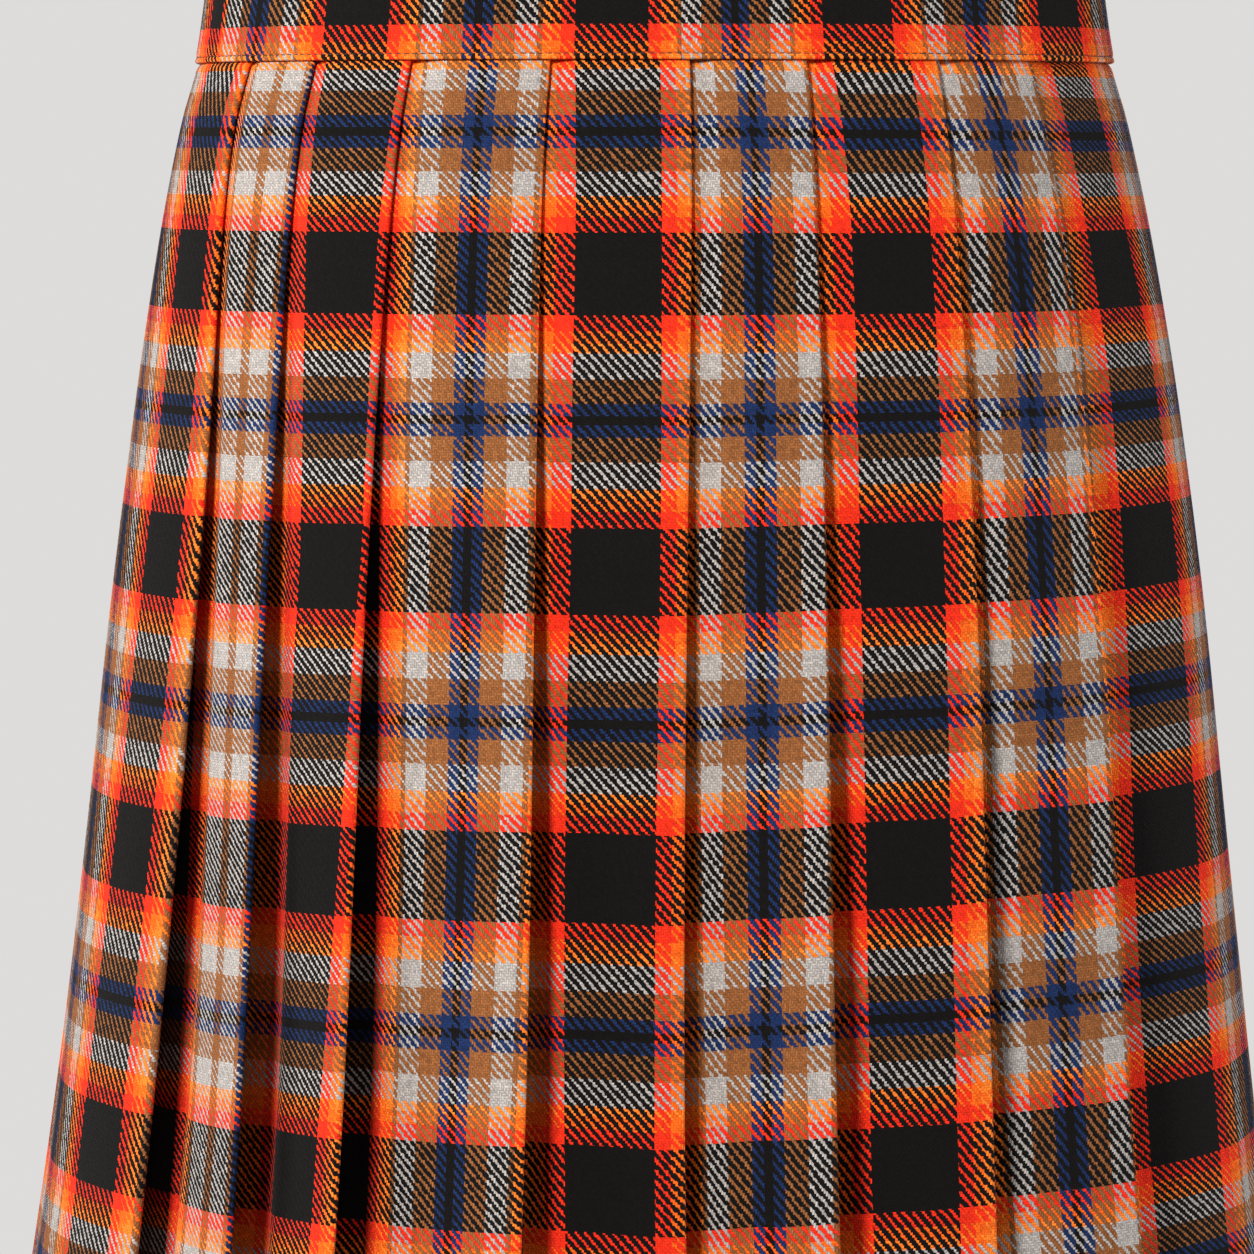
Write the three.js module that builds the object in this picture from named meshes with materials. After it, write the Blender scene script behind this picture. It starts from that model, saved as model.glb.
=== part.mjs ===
// A wrap-round pleated hiking kilt, filled out as it is worn, with nobody in it.
// The knife pleats lie across the back (-Y) and the two flat aprons cross over at the front (+Y).
// Millimetres, +Z up, +X towards the wearer's right. The origin is the middle of the waistband's ring.
// Every cloth piece is a wall swept through plan sections of one shared set of rings: a place on a
// ring is a station in degrees (0 at the middle of the back, 90 at +X, 180 at the middle of the
// front) and an offset outwards from the ring.
import * as THREE from "three";

// ---- driving dimensions ----
const CLOTH = 1.0; // wall thickness of the woven cloth
const BAND_HEIGHT = 46;
const SEAM_GAP = 0.3; // pieces stop this far from the piece they are sewn to
const LAYER_STEP = 1.4; // from one pressed layer of a pleat to the next, at the waist seam
const LAYER_EASE = 0.8; // how much further apart the layers hang once the pleats have opened
const OPENING_DROP = 120; // the pleats are half open this far below the waist seam
const SQUARENESS = 2.4; // 2 would make the rings true ellipses

// The hollow that the wearer fills, a row for each section: drop is measured down from the waist seam.
const RINGS = table(
  ["drop", "halfWidth", "backDepth", "frontDepth"],
  [
    [-46, 149.5, 107, 101],
    [-23, 152.3, 108.3, 103],
    [0, 156, 110, 105],
    [20, 161.4, 115.8, 107],
    [50, 166.2, 122.2, 109.7],
    [90, 170.3, 128.4, 113],
    [135, 174.2, 134, 116.6],
    [190, 179.1, 139.3, 120.4],
    [260, 185.1, 144.8, 125.6],
    [350, 193.9, 151.3, 132.2],
    [450, 204.6, 158.2, 139.8],
    [564, 216.5, 166, 148],
  ],
);
const BAND_RINGS = RINGS.filter((ring) => ring.drop <= 0);
const CLOTH_RINGS = RINGS.filter((ring) => ring.drop >= 0);
const HEM_DROP = RINGS.at(-1).drop;

// The pleats' fold edges from the over apron's to the under apron's: station at the waist and where
// the fully open pleat would hang, how many degrees its hem swings on from there, and how far the
// edge stands out from the layers below it once the pleat is fully open.
const FOLDS = table(
  ["waist", "open", "swing", "raise"],
  [
    [-56.7, -41.2, -11.2, 17],
    [-42.5, -36.5, 0.6, 20],
    [-27.2, -24.7, 0.2, 25],
    [-9.9, -9, 0, 20],
    [2.1, 1.3, -0.2, 10],
    [13.7, 13.3, -1.1, 14],
    [30.7, 30.9, -4.7, 11],
    [47.2, 49.8, -5.4, 13],
  ],
);
const FIRST_PLEAT_ARC = 13.5; // degrees of the over apron that its own under layer lies beneath
const LAYER_START = 0.3; // share of a pleat's width where its inner fold lies
const SEAM_PLACE = 0.4; // share of a pleat's width where an under layer is seamed
const FACE_SHARES = [0, 0.08, 0.16, 0.24, 0.34, 0.5, 0.66, 0.83, 1];
const UNDER_SHARES = [0.8, 0.6];
const SWELL = 1.15; // above 1, a pleat's face lifts faster towards its fold edge

// Stations of the aprons and of the waistband's two ends, unwound past 180.
const OVER_APRON_EDGE = -246;
const UNDER_APRON_EDGE = 234;
const BAND_OUTER_END = -247;
const BAND_INNER_END = 237;
const LEFT_FLARE = 10; // how far the over apron stands out at the wearer's left side
const LEFT_SWING = 15; // and how much further its hem swings out there
const RIGHT_FLARE = 16; // the under apron at the right side
const SIDE_STATION = 118; // where a side panel gives way to its apron, to the left and right alike
const APRON_STRETCHES = 26; // flat stretches round an apron
const SIDE_STRETCHES = 18;

// Waistband: offsets of its inner and outer faces.
const BAND_INSIDE = -1.0;
const BAND_OUTSIDE = 4.4;
const UNDER_BAND_OUTSIDE = 1.2; // where only the under apron hangs from it
const OVER_BAND_INSIDE = 1.6; // where it lies over its own inner end
const BAND_STRETCHES = 80;

// Buttons that close the waistband at the wearer's right front.
const BUTTON_RADIUS = 9;
const BUTTON_RIM = 3.2;
const BUTTON_DISH = 2.2;
const BUTTON_STATIONS = [-239, -223];
const BUTTON_SIDES = 32;

function table(names, rows) {
  return rows.map((row) =>
    Object.fromEntries(names.map((name, i) => [name, row[i]])),
  );
}

const mix = (a, b, share) => a + (b - a) * share;
const radians = THREE.MathUtils.degToRad;

// 0 to 1 between two stations, level at both.
function ease(from, to, value) {
  return THREE.MathUtils.smoothstep(
    Math.sign(to - from) * value,
    Math.sign(to - from) * from,
    Math.sign(to - from) * to,
  );
}

// 0 at the waist seam, where the pleats are stitched flat, towards 1 where they hang free.
function opening(ring) {
  return ring.drop ** 2 / (ring.drop ** 2 + OPENING_DROP ** 2);
}

function layerStep(ring) {
  return LAYER_STEP + LAYER_EASE * opening(ring);
}

// The point at a station of a ring, moved outwards by an offset.
function place(ring, station, offset) {
  const sine = Math.sin(radians(station));
  const cosine = Math.cos(radians(station));
  const depth = cosine > 0 ? ring.backDepth : ring.frontDepth;
  const power = 2 / SQUARENESS;
  const x = ring.halfWidth * Math.sign(sine) * Math.abs(sine) ** power;
  const y = -depth * Math.sign(cosine) * Math.abs(cosine) ** power;
  const slope = SQUARENESS - 1;
  const normal = new THREE.Vector2(
    (Math.sign(x) * Math.abs(x / ring.halfWidth) ** slope) / ring.halfWidth,
    (Math.sign(y) * Math.abs(y / depth) ** slope) / depth,
  ).normalize();
  return new THREE.Vector2(x, y).addScaledVector(normal, offset);
}

// ---- the pleats ----
// Walking from the wearer's left to the right, each pleat is three layers: its face, which starts
// under the pleat before and lifts to the fold edge; the under layer, which runs back beneath it;
// and the start of the next face, which runs forward again beneath both.

function foldStation(index, ring) {
  if (index < 0) return foldStation(0, ring) - FIRST_PLEAT_ARC;
  const { waist, open, swing } = FOLDS[index];
  return mix(waist, open, opening(ring)) + (swing * ring.drop) / HEM_DROP;
}

// Station and offset of a pleat's face, share 0 where it comes out from under the last fold edge.
function facePlace(index, share, ring) {
  const station = mix(
    foldStation(index - 1, ring),
    foldStation(index, ring),
    share,
  );
  const settled = ease(0, LAYER_START, share) * 2 * layerStep(ring);
  const lift = FOLDS[index].raise * opening(ring) * share ** SWELL;
  return { station, offset: settled + lift };
}

function facePoint(index, share, ring) {
  const { station, offset } = facePlace(index, share, ring);
  return place(ring, station, offset);
}

function underPoint(index, share, ring) {
  const { station, offset } = facePlace(index, share, ring);
  return place(ring, station, offset - layerStep(ring));
}

const TO_THE_RIGHT = 1;
const TO_THE_LEFT = -1;

// Three points of a rounded fold that turns inwards from one layer to the next.
function fold(from, to, side) {
  const across = to.clone().sub(from);
  const reach = Math.min(across.length() / 2, 2 * LAYER_STEP);
  const onwards = new THREE.Vector2(across.y, -across.x).setLength(reach);
  const crest = from.clone().lerp(to, 0.5).addScaledVector(onwards, side);
  return [from, crest, to];
}

function faceRun(index, ring) {
  return FACE_SHARES.slice(0, -1).map((share) => facePoint(index, share, ring));
}

function foldEdge(index, ring) {
  const face = facePoint(index, 1, ring);
  return fold(face, underPoint(index, 1, ring), TO_THE_RIGHT);
}

function underRun(index, ring) {
  return UNDER_SHARES.map((share) => underPoint(index, share, ring));
}

// The inner fold below a pleat, and the hidden start of the next face as far as the fold edge.
function innerFold(index, ring) {
  const { station } = facePlace(index, LAYER_START, ring);
  const turn = fold(
    underPoint(index, LAYER_START, ring),
    place(ring, station, 0),
    TO_THE_LEFT,
  );
  const hiddenMiddle = mix(station, foldStation(index, ring), 0.5);
  return [...turn, place(ring, hiddenMiddle, 0)];
}

// A run that carries on where another piece's run stops, a seam's gap further on.
function afterSeam(end, run) {
  const onwards = run[0].clone().sub(end).setLength(SEAM_GAP);
  return [end.clone().add(onwards), ...run];
}

// ---- sections of the cloth pieces, as middle lines of the wall from left to right ----

function stations(from, to, count) {
  return Array.from({ length: count + 1 }, (_, i) => mix(from, to, i / count));
}

// How far the under apron has swung out, and what lies over it with it.
function rightFlare(station, ring) {
  const start = foldStation(FOLDS.length - 1, ring);
  const rise = ease(start, start + 20, station);
  const fall = ease(78, 150, station);
  return RIGHT_FLARE * rise * (1 - fall) * opening(ring);
}

function leftFlare(station, ring) {
  const edge = foldStation(0, ring);
  const edgeRaise = FOLDS[0].raise * opening(ring);
  const sideFlare = LEFT_FLARE * opening(ring) + LEFT_SWING * (ring.drop / HEM_DROP) ** 3;
  const side = mix(edgeRaise, sideFlare, ease(edge, -85, station));
  return side * (1 - ease(-90, -140, station));
}

function overPlace(ring, station) {
  const flare = leftFlare(station, ring) + rightFlare(station + 360, ring);
  return place(ring, station, 2 * layerStep(ring) + flare);
}

function overApronLine(ring) {
  const apron = stations(OVER_APRON_EDGE, -SIDE_STATION, APRON_STRETCHES);
  return apron.map((station) => overPlace(ring, station));
}

function leftSideLine(ring) {
  const edge = foldStation(0, ring);
  const side = stations(-SIDE_STATION, edge, SIDE_STRETCHES).slice(1, -1);
  const panel = side.map((station) => overPlace(ring, station));
  return [
    ...afterSeam(overPlace(ring, -SIDE_STATION), panel),
    ...foldEdge(0, ring),
    ...underRun(0, ring),
    underPoint(0, SEAM_PLACE, ring),
  ];
}

function pleatedBackLine(ring) {
  const last = FOLDS.length - 1;
  const line = afterSeam(
    underPoint(0, SEAM_PLACE, ring),
    innerFold(0, ring),
  );
  for (let index = 1; index <= last; index++) {
    line.push(...faceRun(index, ring), ...foldEdge(index, ring));
    line.push(...underRun(index, ring));
    if (index < last) line.push(...innerFold(index, ring));
  }
  line.push(underPoint(last, SEAM_PLACE, ring));
  return line;
}

function underPlace(ring, station) {
  return place(ring, station, rightFlare(station, ring));
}

function rightSideLine(ring) {
  const last = FOLDS.length - 1;
  const side = stations(foldStation(last, ring), SIDE_STATION, SIDE_STRETCHES);
  return [
    ...afterSeam(underPoint(last, SEAM_PLACE, ring), innerFold(last, ring)),
    ...side.map((station) => underPlace(ring, station)),
  ];
}

function underApronLine(ring) {
  const apron = stations(SIDE_STATION, UNDER_APRON_EDGE, APRON_STRETCHES).slice(1);
  const panel = apron.map((station) => underPlace(ring, station));
  return afterSeam(underPlace(ring, SIDE_STATION), panel);
}

// ---- walls ----

// The two faces of a wall of even thickness round a middle line, mitred at each point.
function thicken(line, thickness) {
  return line.map((point, i) => {
    const before = point.clone().sub(line[Math.max(i - 1, 0)]);
    const after = line[Math.min(i + 1, line.length - 1)].clone().sub(point);
    if (i === 0) before.copy(after);
    if (i === line.length - 1) after.copy(before);
    const along = before.normalize().add(after.normalize()).normalize();
    const mitre = 1 / Math.max(along.dot(after), 0.7);
    const outwards = new THREE.Vector2(along.y, -along.x);
    const half = (thickness / 2) * mitre;
    return {
      outer: point.clone().addScaledVector(outwards, half),
      inner: point.clone().addScaledVector(outwards, -half),
    };
  });
}

// One closed wall through sections, each { z, points } with as many { outer, inner } points as the
// others, listed from the top down.
function wall(sections) {
  const count = sections[0].points.length;
  const positions = [];
  for (const { z, points } of sections) {
    for (const { outer } of points) positions.push(outer.x, outer.y, z);
    for (const { inner } of points) positions.push(inner.x, inner.y, z);
  }
  const outer = (row, i) => row * 2 * count + i;
  const inner = (row, i) => outer(row, i) + count;
  const faces = [];
  const quad = (a, b, c, d) => faces.push(a, b, c, a, c, d);
  const bottom = sections.length - 1;
  for (let row = 0; row < bottom; row++) {
    const next = row + 1;
    for (let i = 0; i < count - 1; i++) {
      quad(outer(row, i), outer(next, i), outer(next, i + 1), outer(row, i + 1));
      quad(inner(row, i), inner(row, i + 1), inner(next, i + 1), inner(next, i));
    }
    const end = count - 1;
    quad(outer(row, 0), inner(row, 0), inner(next, 0), outer(next, 0));
    quad(outer(row, end), outer(next, end), inner(next, end), inner(row, end));
  }
  for (let i = 0; i < count - 1; i++) {
    quad(outer(0, i), outer(0, i + 1), inner(0, i + 1), inner(0, i));
    quad(
      outer(bottom, i),
      inner(bottom, i),
      inner(bottom, i + 1),
      outer(bottom, i + 1),
    );
  }
  const geometry = new THREE.BufferGeometry();
  geometry.setAttribute(
    "position",
    new THREE.Float32BufferAttribute(positions, 3),
  );
  geometry.setIndex(faces);
  geometry.computeVertexNormals();
  return geometry;
}

function heightOf(ring) {
  return -BAND_HEIGHT / 2 - ring.drop;
}

// Cloth hangs from just below the waistband's lower edge.
function clothWall(lineOf) {
  return wall(
    CLOTH_RINGS.map((ring) => ({
      z: Math.min(heightOf(ring), heightOf({ drop: SEAM_GAP })),
      points: thicken(lineOf(ring), CLOTH),
    })),
  );
}

// ---- waistband ----

function bandFaces(station) {
  const overUnder = ease(-98, -112, station);
  const thinned = ease(55, 95, station);
  return {
    inside: mix(BAND_INSIDE, OVER_BAND_INSIDE, overUnder),
    outside: mix(BAND_OUTSIDE, UNDER_BAND_OUTSIDE, thinned),
  };
}

function waistbandWall() {
  const run = stations(BAND_OUTER_END, BAND_INNER_END, BAND_STRETCHES);
  return wall(
    BAND_RINGS.map((ring) => ({
      z: heightOf(ring),
      points: run.map((station) => ({
        outer: place(ring, station, bandFaces(station).outside),
        inner: place(ring, station, bandFaces(station).inside),
      })),
    })),
  );
}

// ---- buttons ----

function buttonGeometry() {
  const profile = [
    [0, 0],
    [BUTTON_RADIUS - 0.6, 0],
    [BUTTON_RADIUS, 0.6],
    [BUTTON_RADIUS, BUTTON_RIM - 0.8],
    [BUTTON_RADIUS - 0.8, BUTTON_RIM],
    [BUTTON_RADIUS - 2.2, BUTTON_RIM],
    [BUTTON_RADIUS - 3.2, BUTTON_DISH],
    [0, BUTTON_DISH],
  ].map(([radius, height]) => new THREE.Vector2(radius, height));
  return new THREE.LatheGeometry(profile, BUTTON_SIDES);
}

// Lays a button flat on the waistband's outer face, half way up the band.
function seatButton(mesh, station) {
  const [top, middle, bottom] = BAND_RINGS;
  const offset = bandFaces(station).outside;
  const at = (ring, turn) => {
    const point = place(ring, station + turn, offset);
    return new THREE.Vector3(point.x, point.y, heightOf(ring));
  };
  const along = at(middle, 1).sub(at(middle, -1));
  const up = at(top, 0).sub(at(bottom, 0));
  const outwards = new THREE.Vector3().crossVectors(along, up).normalize();
  mesh.quaternion.setFromUnitVectors(new THREE.Vector3(0, 1, 0), outwards);
  mesh.position.copy(at(middle, 0)).addScaledVector(outwards, SEAM_GAP);
}

// ---- assembly ----

function cloth(color) {
  return new THREE.MeshStandardMaterial({
    color,
    roughness: 0.92,
    metalness: 0,
    side: THREE.DoubleSide,
  });
}

function piece(name, geometry, material) {
  const mesh = new THREE.Mesh(geometry, material);
  mesh.name = name;
  return mesh;
}

const kilt = new THREE.Group();
kilt.add(piece("waistband", waistbandWall(), cloth(0x1d1917)));
kilt.add(piece("over_apron", clothWall(overApronLine), cloth(0xd8401f)));
kilt.add(piece("left_side", clothWall(leftSideLine), cloth(0xf07223)));
kilt.add(piece("pleated_back", clothWall(pleatedBackLine), cloth(0xb4632e)));
kilt.add(piece("right_side", clothWall(rightSideLine), cloth(0xb9b0aa)));
kilt.add(piece("under_apron", clothWall(underApronLine), cloth(0x26375c)));

BUTTON_STATIONS.forEach((station, i) => {
  const horn = new THREE.MeshStandardMaterial({
    color: 0x17130f,
    roughness: 0.35,
    metalness: 0,
  });
  const button = piece(`button_${i + 1}`, buttonGeometry(), horn);
  seatButton(button, station);
  kilt.add(button);
});

export default kilt;
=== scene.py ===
import math

import bmesh
import bpy
from mathutils import Matrix, Vector, noise


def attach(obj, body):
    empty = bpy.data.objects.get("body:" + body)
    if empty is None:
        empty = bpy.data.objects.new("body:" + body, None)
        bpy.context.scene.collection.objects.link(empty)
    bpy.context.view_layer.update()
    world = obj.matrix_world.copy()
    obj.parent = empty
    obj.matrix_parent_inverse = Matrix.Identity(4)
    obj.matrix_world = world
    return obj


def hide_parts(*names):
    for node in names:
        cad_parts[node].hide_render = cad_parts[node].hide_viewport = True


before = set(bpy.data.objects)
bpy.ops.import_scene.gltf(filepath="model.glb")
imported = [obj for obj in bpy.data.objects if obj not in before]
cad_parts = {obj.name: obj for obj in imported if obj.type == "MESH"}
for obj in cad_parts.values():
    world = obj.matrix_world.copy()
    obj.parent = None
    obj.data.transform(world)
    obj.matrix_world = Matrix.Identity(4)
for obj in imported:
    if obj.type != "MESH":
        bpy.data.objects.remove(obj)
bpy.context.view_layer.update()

# ---- The pleated back ----
# Seven knife pleats of worsted twill tartan, each folded over the next towards the wearer's right,
# pressed flat at the waist seam and hanging open below the hips. It is one length of cloth, and
# its two ends are seamed inside the first and the last pleat.

CLOTH = 0.0008  # thickness of the woven cloth
BAND_HEIGHT = 0.046
LAYER_STEP = 0.0014  # from one pressed layer of a pleat to the next, at the waist seam
LAYER_EASE = 0.0008  # how much further apart the layers hang once the pleats have opened
OPENING_DROP = 0.120  # the pleats are half open this far below the waist seam
LIFT_DROPS = (0.030, 0.380)  # their fold edges lift off the cloth beneath between these drops
HEM_DROP = 0.564
CLOTH_TOP = 0.0003  # the cloth starts this far below the waistband's lower edge
SQUARENESS = 2.4  # 2 would make the rings true ellipses
RINGS = (  # drop below the waist seam, half width, depth behind and depth in front
    (-0.046, 0.1495, 0.1070, 0.1010),
    (-0.023, 0.1523, 0.1083, 0.1030),
    (0.000, 0.1560, 0.1100, 0.1050),
    (0.020, 0.1614, 0.1158, 0.1070),
    (0.050, 0.1662, 0.1222, 0.1097),
    (0.090, 0.1703, 0.1284, 0.1130),
    (0.135, 0.1742, 0.1340, 0.1166),
    (0.190, 0.1791, 0.1393, 0.1204),
    (0.260, 0.1851, 0.1448, 0.1256),
    (0.350, 0.1939, 0.1513, 0.1322),
    (0.450, 0.2046, 0.1582, 0.1398),
    (0.564, 0.2165, 0.1660, 0.1480),
)
# Soft creases, at stations round the kilt from 0 at the middle of the back through 90 at the
# wearer's right: station, drop where it starts, drop where it would end, half width in degrees,
# height of the ridge or depth of the trough, and how many degrees it strays on its way down.
CREASES = (
    (66, 0.16, 0.72, 4, 0.0012, 2),
    (97, 0.18, 0.80, 6, 0.0036, 3),
    (108, 0.30, 0.70, 5, -0.0025, 2),
    (128, 0.12, 0.60, 8, 0.0028, -5),
    (146, 0.22, 0.90, 7, -0.0030, 3),
    (163, 0.05, 0.35, 6, 0.0016, 4),
    (171, 0.30, 0.85, 8, 0.0034, -3),
    (192, 0.20, 0.70, 7, -0.0026, 3),
    (206, 0.10, 0.45, 6, 0.0018, -4),
    (222, 0.26, 0.88, 8, 0.0036, 3),
    (243, 0.15, 0.66, 6, -0.0022, -3),
    (257, 0.24, 0.85, 7, 0.0030, 4),
    (281, 0.20, 0.62, 5, -0.0010, -3),
)
RIPPLE = 0.0007
RIPPLES = (2.4, 5)  # how close the ripples lie, round the kilt and down it
SEAM_TUCK = 0.0016  # how far the cloth turns in where it goes up under the waistband
SEAM_TUCK_DROP = 0.0030


def mix(a, b, share):
    return a + (b - a) * share


def ease(start, end, value):
    """0 to 1 between two values, level at both."""
    share = min(max((value - start) / (end - start), 0.0), 1.0)
    return share * share * (3 - 2 * share)


class Ring:
    """The hollow form at one drop below the waist seam, with how far the pleats have opened."""

    def __init__(self, drop):
        self.drop = drop
        self.opening = max(drop, 0) ** 2 / (drop**2 + OPENING_DROP**2)
        self.lift = ease(*LIFT_DROPS, drop)
        self.layer = LAYER_STEP + LAYER_EASE * self.opening
        self.height = -BAND_HEIGHT / 2 - drop
        row = max(i for i in range(len(RINGS) - 1) if RINGS[i][0] <= max(drop, RINGS[0][0]))
        self.half_width, self.back, self.front = (self.between(row, k) for k in (1, 2, 3))

    def between(self, row, column):
        """A column of RINGS at this drop, on a smooth curve through its rows."""

        def slope(i):
            low, high = max(i - 1, 0), min(i + 1, len(RINGS) - 1)
            return (RINGS[high][column] - RINGS[low][column]) / (RINGS[high][0] - RINGS[low][0])

        (start, *_), (end, *_) = RINGS[row], RINGS[row + 1]
        span = end - start
        t = (self.drop - start) / span
        rise = t * t * (3 - 2 * t)
        return (
            mix(RINGS[row][column], RINGS[row + 1][column], rise)
            + span * slope(row) * t * (1 - t) ** 2
            - span * slope(row + 1) * t * t * (1 - t)
        )

    def drape(self, station):
        """How far the hanging cloth stands off its even form: soft creases and a slight ripple."""
        if self.drop <= 0:
            return 0.0
        tuck = SEAM_TUCK * max(1 - self.drop / SEAM_TUCK_DROP, 0) ** 2
        turn = math.radians(station)
        around, down = RIPPLES
        spot = Vector((around * math.sin(turn), around * math.cos(turn), down * self.drop))
        lift = RIPPLE * self.opening * noise.noise(spot)
        for at, top, bottom, width, height, stray in CREASES:
            share = (self.drop - top) / (bottom - top)
            if 0 < share < 1:
                away = (station - at - stray * share + 180) % 360 - 180
                lift += height * math.sin(math.pi * share) ** 2 * math.exp(-2 * (away / width) ** 2)
        return lift - tuck

    def place(self, station, offset):
        """The point at a station in degrees from the middle of the back, moved outwards."""
        sine, cosine = math.sin(math.radians(station)), math.cos(math.radians(station))
        depth = self.back if cosine > 0 else self.front
        x = self.half_width * math.copysign(abs(sine) ** (2 / SQUARENESS), sine)
        y = -depth * math.copysign(abs(cosine) ** (2 / SQUARENESS), cosine)
        power = SQUARENESS - 1
        outwards = Vector(
            (
                math.copysign(abs(x / self.half_width) ** power, x) / self.half_width,
                math.copysign(abs(y / depth) ** power, y) / depth,
            )
        ).normalized()
        return Vector((x, y)) + outwards * (offset + self.drape(station))


# The fold edges from the over apron's to the under apron's: station at the waist, station where the
# open pleat would hang, the degrees that its hem swings on from there and that it moves as it
# lifts, and how far the edge stands out from the layers below it once it has fully lifted.
FOLDS = (
    (-57.7, -50.0, -9.9, 6.1, 0.0140),
    (-42.8, -41.6, -2.4, 6.5, 0.0190),
    (-27.2, -28.4, -2.1, 4.1, 0.0200),
    (-9.9, -9.5, -2.0, 1.6, 0.0175),
    (1.9, 0.9, 1.6, -0.9, 0.0085),
    (13.7, 13.7, -0.2, -1.1, 0.0140),
    (30.8, 32.6, -4.2, -1.9, 0.0100),
    (47.2, 53.1, 0.3, -7.3, 0.0110),
)
LAST_FOLD = len(FOLDS) - 1
FIRST_PLEAT_ARC = 13.5  # degrees of the over apron that its own under layer lies beneath
LAYER_START = 0.3  # share of a pleat's width where its inner fold lies
SEAM_PLACE = 0.4  # share of a pleat's width where an under layer is seamed
SWELL = 1.15  # above 1, a pleat's face lifts faster towards its fold edge
FACE_STEPS = 22
FOLD_STEPS = 6
UNDER_STEPS = 7
HIDDEN_STEPS = 4

# The tartan's repeat counted in threads. For each fold edge, at a few drops: the thread that it
# cuts and how much the stripes of that pleat's face are drawn in.
REPEAT = 120
THREAD = 0.09835 / REPEAT
STRIPE_DROPS = (0, 0.05, 0.10, 0.16, 0.25, 0.35, 0.564)
EDGE_THREADS = (
    (26.0, 27.0, 30.2, 31.5, 34.4, 35.0, 36.5),
    (57.0, 57.0, 57.0, 57.0, 57.0, 57.0, 57.0),
    (20.0, 21.3, 20.9, 19.8, 24.2, 31.0, 36.0),
    (90.0, 90.0, 89.8, 89.5, 90.7, 93.2, 95.0),
    (29.2, 29.0, 28.2, 27.6, 28.0, 28.7, 29.6),
    (88.6, 88.2, 87.5, 87.8, 88.6, 89.3, 90.0),
    (29.6, 29.6, 30.0, 31.0, 32.2, 32.4, 32.6),
    (88.6, 90.4, 91.7, 93.0, 90.2, 89.0, 89.0),
)
DRAWN_IN = (
    (1.28, 1.36, 1.34, 1.20, 1.13, 1.05, 1.00),
    (0.86, 0.88, 0.90, 0.93, 1.03, 1.04, 1.04),
    (0.97, 1.04, 1.12, 1.14, 1.05, 1.02, 1.03),
    (1.13, 1.12, 1.09, 1.07, 1.05, 1.04, 1.03),
    (1.02, 1.01, 0.98, 0.97, 0.95, 0.95, 0.95),
    (1.22, 1.18, 1.11, 1.07, 1.05, 1.04, 1.03),
    (1.07, 1.06, 1.03, 1.01, 1.02, 1.00, 1.00),
    (1.24, 1.23, 1.16, 1.12, 1.03, 1.01, 1.00),
)
# On every other pleat the stripes lie further apart where they turn round the fold edge, and again
# on the far side of the black stripe, there by a share of their own for each pleat.
EDGE_SLACK = (31, 0.4)
FAR_SLACK = (-17, (1, 1, 0.5, 1, 0.75, 1, 0.75, 1))
# The second pleat repeats its white stripe: distance in from its fold edge and thread there.
ODD = 1
ODD_PLEAT = (
    (0.0000, 57.0),
    (0.0030, 53.0),
    (0.0040, 43.0),
    (0.0093, 38.5),
    (0.0145, 43.0),
    (0.0170, 45.5),
    (0.0195, 43.0),
    (0.0310, 33.5),
    (0.0340, 31.0),
    (0.0500, 23.0),
    (0.0560, 17.0),
    (0.0900, -17.0),
)
# How much of that has slipped round the fold, at the same drops as the edge threads.
ODD_SLIPS = (0.0020, 0.0010, 0.0000, 0.0000, 0.0012, 0.0014, 0.0014)
# How much closer the rows lie at each fold edge and at the wearer's right than the cloth's length
# puts them, and how far they have slipped down the cloth at some depths.
ROW_SCALES = (0.998, 1.000, 1.000, 1.000, 0.996, 1.006, 1.017, 1.026)
RIGHT_ROW_SCALE = 1.035
RIGHT_STATION = 70
FIRST_ROW = 0.0700  # from the waist seam down to the middle of the first black row
ROW_SLIPS = (
    (0.000, 0.0057),
    (0.004, 0.0057),
    (0.011, 0.0042),
    (0.029, 0.0042),
    (0.047, 0.0030),
    (0.066, 0.0017),
    (0.084, 0.0012),
    (0.103, 0.0006),
    (0.121, 0.0000),
    (0.140, -0.0004),
    (0.213, -0.0005),
    (0.250, -0.0007),
    (0.268, -0.0001),
    (0.305, 0.0010),
    (0.342, 0.0017),
    (0.700, 0.0022),
)


def fold_station(index, ring):
    if index < 0:
        return fold_station(0, ring) - FIRST_PLEAT_ARC
    waist, opened, swing, lifted, _ = FOLDS[index]
    hanging = mix(waist, opened, ring.opening)
    return hanging + swing * ring.drop / HEM_DROP + lifted * ring.lift


def face_place(index, share, ring):
    """Station and offset of a pleat's face, share 0 where it comes out under the last fold edge."""
    station = mix(fold_station(index - 1, ring), fold_station(index, ring), share)
    settled = ease(0, LAYER_START, share) * 2 * ring.layer
    return station, settled + FOLDS[index][4] * ring.lift * share**SWELL


def face_point(index, share, ring):
    return ring.place(*face_place(index, share, ring))


def under_point(index, share, ring):
    station, offset = face_place(index, share, ring)
    return ring.place(station, offset - ring.layer)


def half_turn(start, end, side):
    """Points round a fold from one layer to the next, bulging to one side of the way across."""
    middle, across = (start + end) / 2, (start - end) / 2
    onwards = Vector((-across.y, across.x)) * side
    angles = (math.pi * i / FOLD_STEPS for i in range(FOLD_STEPS + 1))
    return [middle + across * math.cos(a) + onwards * math.sin(a) for a in angles]


def spread(start, end, steps):
    return [mix(start, end, i / steps) for i in range(steps + 1)]


def fold_edge(index, ring):
    return half_turn(face_point(index, 1, ring), under_point(index, 1, ring), 1)


def under_run(index, ring, stop):
    return [under_point(index, share, ring) for share in spread(1, stop, UNDER_STEPS)[1:]]


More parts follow.
